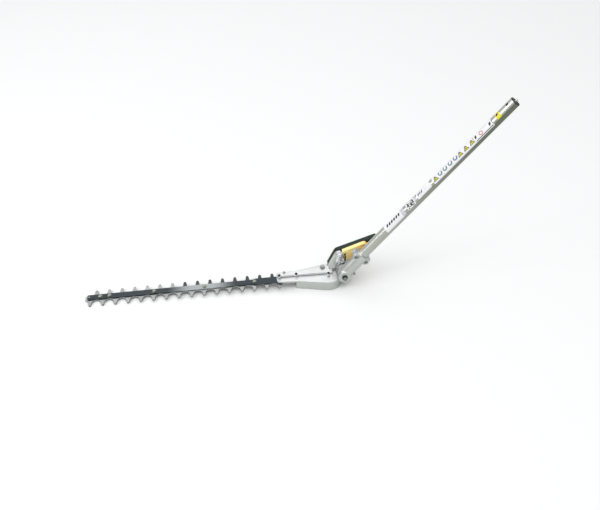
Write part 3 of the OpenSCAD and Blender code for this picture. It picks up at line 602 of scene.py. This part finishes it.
def ground_blade(name, up):
    """The CAD blade with a ground bevel along its teeth, on the side that up says."""
    shape = bmesh.new()
    mesh = node_copy(name)
    shape.from_mesh(mesh)
    shape.transform(blade_place.inverted())
    shape.normal_update()
    heights = [v.co.z for v in shape.verts]
    face_z = max(heights) if up > 0 else min(heights)
    rim = [
        e for e in shape.edges
        if all(abs(v.co.z - face_z) < same_height for v in e.verts)
        and max(abs(v.co.y) for v in e.verts) > back_half
        and e.verts[0].co.x < teeth_from
        and len(e.link_faces) == 2
        and e.calc_face_angle(0) > sharp_edge]
    bevelled = bmesh.ops.bevel(
        shape, geom=rim, offset=bevel_width, offset_type="OFFSET", segments=1, profile=0.5,
        affect="EDGES", clamp_overlap=True)
    for face in bevelled["faces"]:
        face.material_index = 1
    shape.transform(blade_place)
    shape.to_mesh(mesh)
    shape.free()
    return mesh


for name, up, body in (("upper_blade", 1, "blade_above"), ("lower_blade", -1, "blade_below")):
    blade = make_piece(
        name + "_ground", ground_blade(name, up), blade_stamped, body, "blade_steel", name)
    blade.data.materials.append(blade_ground)


# ---------------------------------------------------------------- guide bar
# A flat bar of dark rolled steel with lengthwise grain, which holds the blades flat. Shoulder
# bolts with broad heads hold it, and a small rivet closes its tip.

bar_rolled = finish_material(
    "bar_rolled", ((0.075, 0.090, 0.098), (0.022, 0.029, 0.033)), drift=40, grain=900,
    rough=(0.26, 0.42), metallic=0.9, bump=0.3, stretch=(0.16, 8, 1), marks=0.45,
    mark_tone=(0.20, 0.22, 0.23))
# Painted highlight: a lighter stretch along the dark bar stands in for a reflection of the light.
painted_highlight_stretch = ((1, 0, 0), -0.335, -0.285, 0.07)
tint_band(bar_rolled, (0.48, 0.50, 0.51), 0.75, painted_highlight_stretch)
bolt_bright = finish_material(
    "bolt_bright", ((0.46, 0.46, 0.40), (0.20, 0.205, 0.17)), drift=320, grain=2800,
    rough=(0.2, 0.34), metallic=1.0, bump=0.2, marks=0.5, mark_tone=(0.07, 0.075, 0.06))
paint(bar_rolled, "guide_bar")
bar_up = 2.8
bolt_back = -195.0
tooth_pitch = 33.0
bolt_steps = (0, 4, 8, 11.5)
tip_bolt_step = 24
bolt_xs = [bolt_back - step * tooth_pitch for step in bolt_steps]
bolt_xs.append(bolt_xs[-1] - tip_bolt_step)
bolt_places = [(x, 0, bar_up) for x in bolt_xs]
shoulder_bolt = [
    (0, -8.2), (2.7, -8.2), (3, -7.9), (3, 0), (5.3, 0), (5.6, 0.25), (5.6, 0.6), (5.4, 0.8),
    (4.2, 0.8), (4.2, 2.9), (3.7, 3.4), (1.6, 3.4), (1.3, 2.9), (0, 2.9)]
fasteners("blade_shoulder_bolts", turned(shoulder_bolt, hexagons=(8, 9)), bolt_places,
          blade_place, bolt_bright, "gear_case", "zinc_steel", "blade_bolts", seed=7)
paint(bolt_bright, "blade_washers", "tip_rivet")


# ---------------------------------------------------------------- hinge
# A through bolt with a black washer under its head carries the clamp housing on the case.

black_rubber = finish_material(
    "black_rubber", ((0.008, 0.009, 0.009), (0.014, 0.015, 0.015)), drift=120, grain=1800,
    rough=(0.6, 0.8), metallic=0.0, bump=0.3)
paint(zinc_plate, "hinge_bolt", "hinge_nut")
paint(black_rubber, "hinge_washer", "shaft_liners")


# ---------------------------------------------------------------- clamp housing
# Two cast halves around the tube's end and the bevel gears, pinched by two long bolts through
# slotted lugs, and one small screw beside the hinge.

for half in ("housing_near", "housing_far"):
    cast_piece(half, voxel=0.5, rounds=9, body="shaft")
near_stand = local_frame(tube_axis, -across, joints["fold"]["pos_m"])
clamp_reach = 67.5
clamp_side = 16.2
clamp_seat = 8.0
clamp_places = [(clamp_reach, side * clamp_side, clamp_seat) for side in (-1, 1)]
housing_screw_places = [(17, -19.5, 6)]
clamp_bolt = cap_screw(shank=2.5, head=4.3, height=4.0, length=25)
housing_screw = cap_screw(shank=2, head=3.4, height=2.6, length=12)
fasteners("clamp_cap_bolts", clamp_bolt, clamp_places, near_stand, zinc_plate,
          "shaft", "zinc_steel", "clamp_bolts", seed=3)
fasteners("housing_cap_screws", housing_screw, housing_screw_places, near_stand, zinc_plate,
          "shaft", "zinc_steel", "housing_screws", seed=6)
paint(zinc_plate, "clamp_nuts")


# ---------------------------------------------------------------- tube
# Drawn aluminium tube, satin anodised, with fine lines along its length, and painted shade that
# darkens its underside, more so away from the hinge.
# A black moulded bush closes its end.

tube_angle = math.atan2(tube_axis.z, tube_axis.x)
satin_tube = finish_material(
    "satin_tube", ((0.76, 0.765, 0.715), (0.68, 0.685, 0.635)), drift=30, grain=1300,
    rough=(0.26, 0.36), metallic=0.85, bump=0.25, stretch=(0.25, 4, 4), marks=0.08,
    mark_tone=(0.5, 0.5, 0.46), angle=tube_angle)
hinge_point = Vector(joints["fold"]["pos_m"])
tube_over = tube_axis.cross(across)
lower_side = (-0.82 * across - 0.57 * tube_over).normalized()
endless = 10.0
# Painted shade: the underside of the tube is painted dark greenish grey, growing darker along the
# tube away from the hinge.
underside_shade_band = (lower_side, lower_side.dot(hinge_point) + 0.0085, endless, 0.005)
far_end_shade_band = (tube_axis, tube_axis.dot(hinge_point) + 0.62, endless, 0.75)
tint_band(satin_tube, (0.165, 0.187, 0.138), 0.95, underside_shade_band, far_end_shade_band)
paint(satin_tube, "shaft_tube")
black_moulded = finish_material(
    "black_moulded", ((0.010, 0.020, 0.013), (0.018, 0.030, 0.022)), drift=60, grain=1700,
    rough=(0.44, 0.58), metallic=0.0, bump=0.4, marks=0.1, mark_tone=(0.04, 0.05, 0.04))
black_shader = black_moulded.node_tree.nodes["Principled BSDF"]
black_shader.inputs["Specular IOR Level"].default_value = 0.3
paint(black_moulded, "end_bush")


# ---------------------------------------------------------------- labels on the tube
# Printed films wrapped round the tube's upper side, with plain marks and no lettering. Each is
# drawn flat, in millimetres along the tube and degrees round it, and a tree bends it onto the
# tube.

tube_r = 13.0
film_t = 0.08
ink_t = 0.06
step_round = 0.9


def wrap_tree():
    """Bends a flat sheet onto a tube: x stays along it, y goes round it, z stands off it."""
    tree, given, result = node_tree("wrap_on_tube", [
        ("Geometry", "NodeSocketGeometry", None),
        ("Tube Radius", "NodeSocketFloat", 13.0),
        ("Finish", "NodeSocketMaterial", None)])
    place = add(tree, "GeometryNodeInputPosition")
    parts = add(tree, "ShaderNodeSeparateXYZ", {"Vector": place.outputs[0]})
    turn = maths(tree, "DIVIDE", parts.outputs["Y"], given.outputs["Tube Radius"])
    reach = maths(tree, "ADD", parts.outputs["Z"], given.outputs["Tube Radius"])
    inward = maths(tree, "MULTIPLY", reach, -1.0)
    side = maths(tree, "MULTIPLY", inward, maths(tree, "COSINE", turn))
    over = maths(tree, "MULTIPLY", reach, maths(tree, "SINE", turn))
    bent = add(tree, "ShaderNodeCombineXYZ", {"X": parts.outputs["X"], "Y": side, "Z": over})
    moved = add(tree, "GeometryNodeSetPosition", {
        "Geometry": given.outputs["Geometry"], "Position": bent.outputs[0]})
    finish_tree(tree, moved.outputs[0], given, result)
    return tree


wrap_on_tube = wrap_tree()


def flat_sheet(outlines, low, high):
    """Closed flat plates with these outlines, from low to high, cut fine enough to bend."""
    shape = bmesh.new()
    for outline in outlines:
        shape.faces.new([shape.verts.new((x, y, high)) for x, y in outline])
    rounds = [v.co.y for v in shape.verts]
    cut = min(rounds) + step_round
    while cut < max(rounds):
        bmesh.ops.bisect_plane(
            shape, geom=shape.verts[:] + shape.edges[:] + shape.faces[:], plane_co=(0, cut, 0),
            plane_no=(0, 1, 0))
        cut += step_round
    for face in shape.faces:
        if face.normal.z < 0:
            face.normal_flip()
    shape.normal_update()
    top = shape.faces[:]
    drawn = bmesh.ops.extrude_face_region(shape, geom=top)
    for vert in [g for g in drawn["geom"] if isinstance(g, bmesh.types.BMVert)]:
        vert.co.z = low
    bmesh.ops.recalc_face_normals(shape, faces=shape.faces)
    mesh = bpy.data.meshes.new("flat")
    shape.to_mesh(mesh)
    shape.free()
    return mesh


def bent_label(name, sheet, finish):
    """A flat sheet bent onto the tube becomes a piece."""
    mesh = run_tree(sheet, wrap_on_tube, {"Tube Radius": tube_r, "Finish": finish})
    mesh.transform(shaft_place)
    make_piece(name, mesh, None, "shaft", "tube_aluminium")


def label(name, outlines, low, high, finish):
    """A printed sheet on the tube, with its outlines in millimetres along and round the tube."""
    bent_label(name, flat_sheet(outlines, low, high), finish)


def oblong(x0, x1, turn0, turn1, slant=0.0):
    """A box between two places along the tube and two angles round it, leaning by slant."""
    low, high = (math.radians(turn) * tube_r for turn in (turn0, turn1))
    return [(x0, low), (x1, low), (x1 + slant, high), (x0 + slant, high)]


def ring_parts(x, turn, outer, inner, count=20):
    """Short pieces of a flat ring round a place on the tube."""
    middle = math.radians(turn) * tube_r
    parts = []
    for k in range(count):
        a, b = math.tau * k / count, math.tau * (k + 1) / count
        parts.append([
            (x + r * math.cos(t), middle + r * math.sin(t))
            for r, t in ((inner, a), (outer, a), (outer, b), (inner, b))])
    return parts


def film(name, tone, shade):
    """Printed film: one ink with a faint drift, under a clear satin face."""
    return finish_material(
        name, (tone, shade), drift=90, grain=2400, rough=(0.34, 0.46), metallic=0.0, bump=0.08,
        marks=0.05, mark_tone=tuple(0.8 * channel for channel in tone), coat=0.1)


white_film = film("white_film", (0.86, 0.86, 0.87), (0.80, 0.81, 0.83))
grey_film = film("grey_film", (0.60, 0.62, 0.66), (0.54, 0.56, 0.60))
black_ink = film("black_ink", (0.012, 0.013, 0.014), (0.022, 0.023, 0.025))
blue_ink = film("blue_ink", (0.07, 0.10, 0.19), (0.10, 0.13, 0.22))
teal_ink = film("teal_ink", (0.11, 0.19, 0.23), (0.15, 0.24, 0.28))
yellow_ink = film("yellow_ink", (0.84, 0.74, 0.03), (0.78, 0.68, 0.02))
red_ink = film("red_ink", (0.72, 0.10, 0.08), (0.64, 0.08, 0.07))

film_top = 122
white_films = [
    oblong(176, 238, 4, film_top), oblong(259, 287, 16, 104), oblong(298, 346, 24, film_top),
    oblong(355.5, 561, 15, film_top)]
grey_ends = [oblong(238, 249, 6, 118), oblong(287.4, 295, 40, 116)]
label("label_films", white_films, 0.0, film_t, white_film)
label("label_grey_ends", grey_ends, 0.0, film_t, grey_film)

ink_low, ink_high = 0.5 * film_t, film_t + ink_t


def bar_row(x, step, width, turn0, turn1, slant, count):
    """Leaning bars, one every step along the tube."""
    return [
        oblong(x + step * k, x + width + step * k, turn0, turn1, slant=slant)
        for k in range(count)]


name_bars = bar_row(183.5, step=8.6, width=5.5, turn0=53, turn1=84, slant=3.2, count=6)
blue_bars = bar_row(301.5, step=6.2, width=3.6, turn0=56, turn1=86, slant=3, count=3)
frame_line = [oblong(504, 559, 24, 31)]
dark_marks = [
    oblong(503.5, 508.5, 52, 86, slant=2), oblong(498.5, 499.8, 60, 92),
    oblong(549, 555, 48, 80, slant=3), oblong(560.2, 561.6, 40, 92)]
fine_lines = [
    oblong(324, 337, 56, 58.5), oblong(324, 333, 63, 65.5), oblong(514, 546, 90, 92),
    oblong(530, 545, 84, 86)]
# The patch of cells is a made-up pattern and holds no code.
cell_x, cell_step, cell_width = 261.2, 2.4, 2.2
cell_turn, cell_turn_step, cell_turn_width = 22, 9, 8.4
code_cells = [
    oblong(cell_x + cell_step * i, cell_x + cell_width + cell_step * i,
           cell_turn + cell_turn_step * j, cell_turn + cell_turn_width + cell_turn_step * j)
    for i in range(10) for j in range(8) if (3 * i * i + 5 * j * j + i * j) % 7 < 4]
label("label_black_marks", name_bars + frame_line + dark_marks, ink_low, ink_high, black_ink)
label("label_code_cells", code_cells, ink_low, ink_high, black_ink)
label("label_blue_marks", blue_bars, ink_low, ink_high, blue_ink)
label("label_fine_lines", fine_lines, ink_low, ink_high, grey_film)
label("label_red_ring", ring_parts(523.4, 61, outer=5.4, inner=3.4), ink_low, ink_high, red_ink)


def sign_row(name, outlines, places, low, high, finish):
    """The same flat sign at every place in a row, then bent onto the tube."""
    sheet = flat_sheet(outlines, low, high)
    bent_label(name, copies(sheet, places, finish, seed=1, most_turn=0.0), finish)


def taper(base_half, base, top_half, top):
    """An upright outline that narrows from its base to its top."""
    return [(-base_half, base), (base_half, base), (top_half, top), (-top_half, top)]


over_ink = 0.04
sign_base = math.radians(37) * tube_r
sign_places = [(x, sign_base, 0) for x in (365.4, 452.2, 472.2, 492.2)]
sign_row("signs_black", [taper(8.0, 0, 1.3, 11.2)], sign_places, ink_low, ink_high, black_ink)
sign_row("signs_yellow", [taper(5.4, 1.3, 0.3, 8.6)],
         sign_places, ink_low, ink_high + over_ink, yellow_ink)
sign_row("signs_bars", [taper(1.2, 2.4, 0.8, 6.6)],
         sign_places, ink_low, ink_high + 2 * over_ink, black_ink)
disc_middle = math.radians(66) * tube_r
disc_places = [(x, disc_middle, 0) for x in (383.4, 400.6, 418.6, 436.6)]
disc_turns = [math.tau * k / 24 for k in range(24)]
disc = [(7.0 * math.cos(turn), 5.8 * math.sin(turn)) for turn in disc_turns]
disc_mark = [(-3.6, -2.2), (1.2, -2.6), (3.4, 0.6), (4.6, 5.4), (-0.6, 5.2), (-3.0, 1.6)]
sign_row("round_signs", [disc], disc_places, ink_low, ink_high, teal_ink)
sign_row("round_sign_marks", [disc_mark],
         disc_places, ink_low, ink_high + over_ink, white_film)

label("arrow_square", [oblong(574, 586.5, 30, 108)], 0.0, film_t, yellow_ink)
arrow_middle = math.radians(80) * tube_r
arrow = [
    (574.8, arrow_middle - 2.6), (580, arrow_middle - 3.0), (585, arrow_middle + 3.4),
    (577.6, arrow_middle + 3.4)]
label("arrow_mark", [arrow], ink_low, ink_high, black_ink)


# ---------------------------------------------------------------- handle and lock lever
# A cast bracket carries a black moulded angle handle. Under its grip turns a yellow moulded
# lever that lifts the lock plunger.

def joined(mesh, other):
    """One mesh of two overlapping closed shells."""
    shape = bmesh.new()
    shape.from_mesh(mesh)
    shape.from_mesh(other)
    shape.to_mesh(mesh)
    shape.free()
    return mesh


def capsule(low, high, radius):
    """A round bar with domed ends between two points in millimetres."""
    length = (high - low).length
    turns = [math.radians(degrees) for degrees in range(0, 90, 15)]
    arc = [(radius * math.cos(turn), radius * math.sin(turn)) for turn in turns]
    low_dome = [(0, -radius)] + [(reach, -height) for reach, height in reversed(arc)]
    high_dome = [(reach, length + height) for reach, height in arc] + [(0, length + radius)]
    mesh = turned(low_dome + high_dome)
    turn = (high - low).to_track_quat("Z", "Y").to_matrix().to_4x4()
    mesh.transform(row_place @ Matrix.Translation(low) @ turn)
    return mesh


rib_low = Vector((53.4, 11.0, 60.0))
rib_high = Vector((56.5, 11.0, 79.0))
rib = capsule(rib_low, rib_high, radius=6.6)
bracket_shell = joined(node_copy("handle_bracket"), rib)
make_piece(
    "handle_bracket_cast", smooth_cast(bracket_shell, voxel=0.5, rounds=14),
    cast_aluminium, "gear_case", "cast_aluminium", "handle_bracket")
make_piece(
    "angle_handle_moulded", smooth_cast(node_copy("angle_handle"), voxel=0.6, rounds=9),
    black_moulded, "gear_case", "black_plastic", "angle_handle")
yellow_moulded = finish_material(
    "yellow_moulded", ((1.0, 0.85, 0.38), (1.0, 0.77, 0.30)), drift=50, grain=1900,
    rough=(0.32, 0.45), metallic=0.0, bump=0.35, marks=0.06, mark_tone=(0.85, 0.42, 0.05), coat=0.2)
# Painted shade: the lower part of the yellow lever and its end toward the tube are painted orange,
# where shade falls.
lever_under_shade_band = ((0.6, 0, -0.8), -0.009, 0.2, 0.012)
lever_back_shade_band = ((1, 0, 0), 0.094, 0.3, 0.02)
tint_band(yellow_moulded, (0.95, 0.42, 0.03), 0.8, lever_under_shade_band, lever_back_shade_band)
make_piece(
    "lock_lever_moulded", smooth_cast(node_copy("lock_lever"), voxel=0.5, rounds=9),
    yellow_moulded, "lever", "yellow_plastic", "lock_lever")
spring_wire = finish_material(
    "spring_wire", ((0.36, 0.37, 0.38), (0.26, 0.27, 0.28)), drift=300, grain=3000,
    rough=(0.25, 0.4), metallic=1.0, bump=0.1)
paint(spring_wire, "lever_spring")
paint(zinc_plate, "bracket_screws", "handle_screws", "lever_pin")
